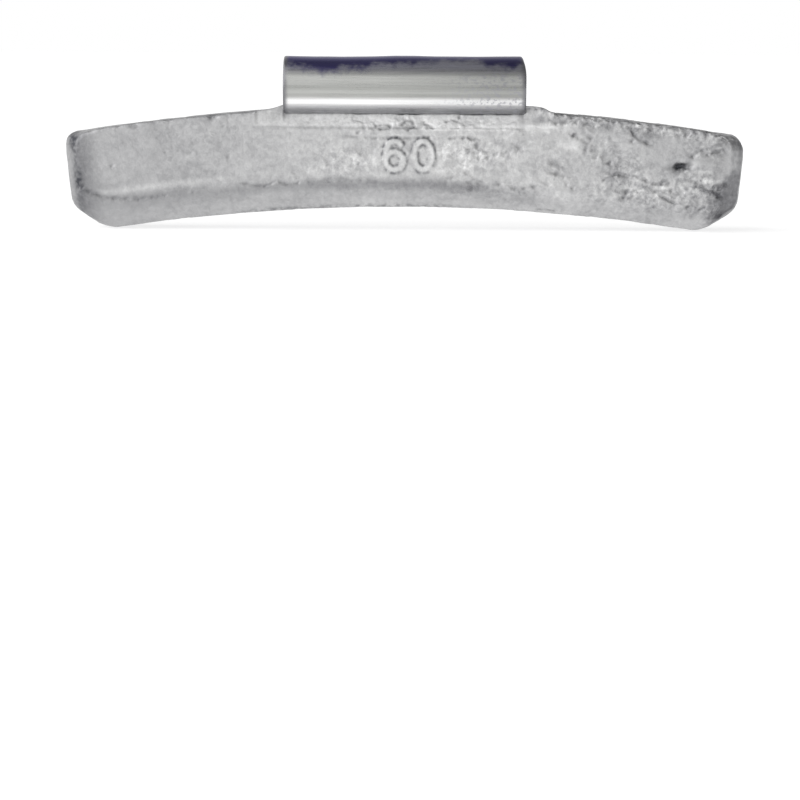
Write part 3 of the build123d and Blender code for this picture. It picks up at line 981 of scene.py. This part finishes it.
# %% Lead that crept to the clip
left_foot, right_foot, corner_fill = 0.55, 0.42, 0.28
notch_fill, hook_seal, bend_seal, side_seal, seal_reach = 0.12, 0.3, 0.35, 0.28, 0.34
moved = places - normals * (press * front)[:, None]
moved[:, 1] = np.where(beside < land_run, np.maximum(moved[:, 1], slope_y), moved[:, 1])
under_clip = (beside < 0) * (1 - smooth(z, -2.4, -2.2))
fill = notch_fill * near(z - notch_top_z, 0.5) * (1 - smooth(beside, -1.5, -0.3))
moved[:, 1] -= fill * under_clip * (y < 0)
from_hook = np.hypot(y, z)
seal = hook_seal * near(from_hook - hook_outer, seal_reach) * under_clip
moved[:, 1:] *= (1 - seal / from_hook)[:, None]
from_bend = np.hypot(y - bend_centre[0], z - bend_centre[1])
bend_outer = tang_bend_radius + strip_thickness
past_bend = y > bend_centre[0]
behind = bend_seal * near(from_bend - bend_outer, seal_reach) * (beside < 0) * past_bend
moved[:, 1] -= behind * (y - bend_centre[0]) / from_bend
moved[:, 2] -= behind * (z - bend_centre[1]) / from_bend
in_hook = smooth(from_hook, hook_inner - 0.3, hook_inner)
in_hook *= 1 - smooth(from_hook, hook_outer, hook_outer + 0.35)
in_bend = (1 - smooth(from_bend, bend_outer, bend_outer + 0.35)) * past_bend
gripped = side_seal * np.maximum(in_hook, in_bend) * near(beside, 0.3) * (beside > -0.1) * (z < -1.2)
moved[:, 0] -= np.sign(x) * gripped
top = smooth(z, body_high.z - 1.4, body_high.z - 0.5) * (1 - smooth(y, 0.8, 2.8))
creep = np.where(x < 0, left_foot * np.exp(-beside / 0.8), right_foot * (1 - smooth(beside, 1.6, 2.8)))
moved[:, 2] += np.where(beside > 0, creep, 0) * top
moved[:, 0] -= corner_fill * spot(-33.9, -4.8, 0.8, 0.8)
moved = np.clip(moved, body_low, np.maximum(body_high, (0, 0, body_high.z + 1)))
print("casting box in mm:", moved.min(0).round(2), moved.max(0).round(2))

# %% [markdown]
# The points go back into the mesh, the notch's ends are softened, and the maps go along for the finish.
# The skin's own dirt and painted shade lie all over; the marks stay at the front.

# %% The finished casting
notch_passes = 8
casting_mesh.vertices.foreach_set("co", (moved * MM).ravel())
shape = bmesh.new()
shape.from_mesh(casting_mesh)
shape.verts.ensure_lookup_table()
notch_ends = np.flatnonzero((np.abs(beside) < 0.7) & (z > notch_foot_z - 0.2) & (z < -2.4) & (y < 0))
soften(shape, [shape.verts[i] for i in notch_ends], notch_passes)
shape.to_mesh(casting_mesh)
shape.free()
write_map(casting_mesh, "grime", np.clip(skin_dirt_and_shade + dirt_and_painted_shade * near_front, 0, 1))
write_map(casting_mesh, "tone_and_painted_light", tone_and_painted_light * front)
write_map(casting_mesh, "matt", np.clip(notch, 0, 1) * front)
casting_mesh.shade_smooth()
casting_mesh.update()
casting = place_object("cast_weight_body", casting_mesh)
print(len(notch_ends), "points softened at the ends of the notch")

# %% [markdown]
# ## Hand the pieces to the frame
# Both pieces stand for CAD nodes of the part's one body.

# %% Ride and replace
for piece, node, slot in ((clip, "spring_clip", "spring_steel"), (casting, "cast_weight", "cast_lead")):
    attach(piece, "root")
    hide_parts(node)
    print(piece.name, sum(len(face.vertices) - 2 for face in piece.data.polygons), "triangles")
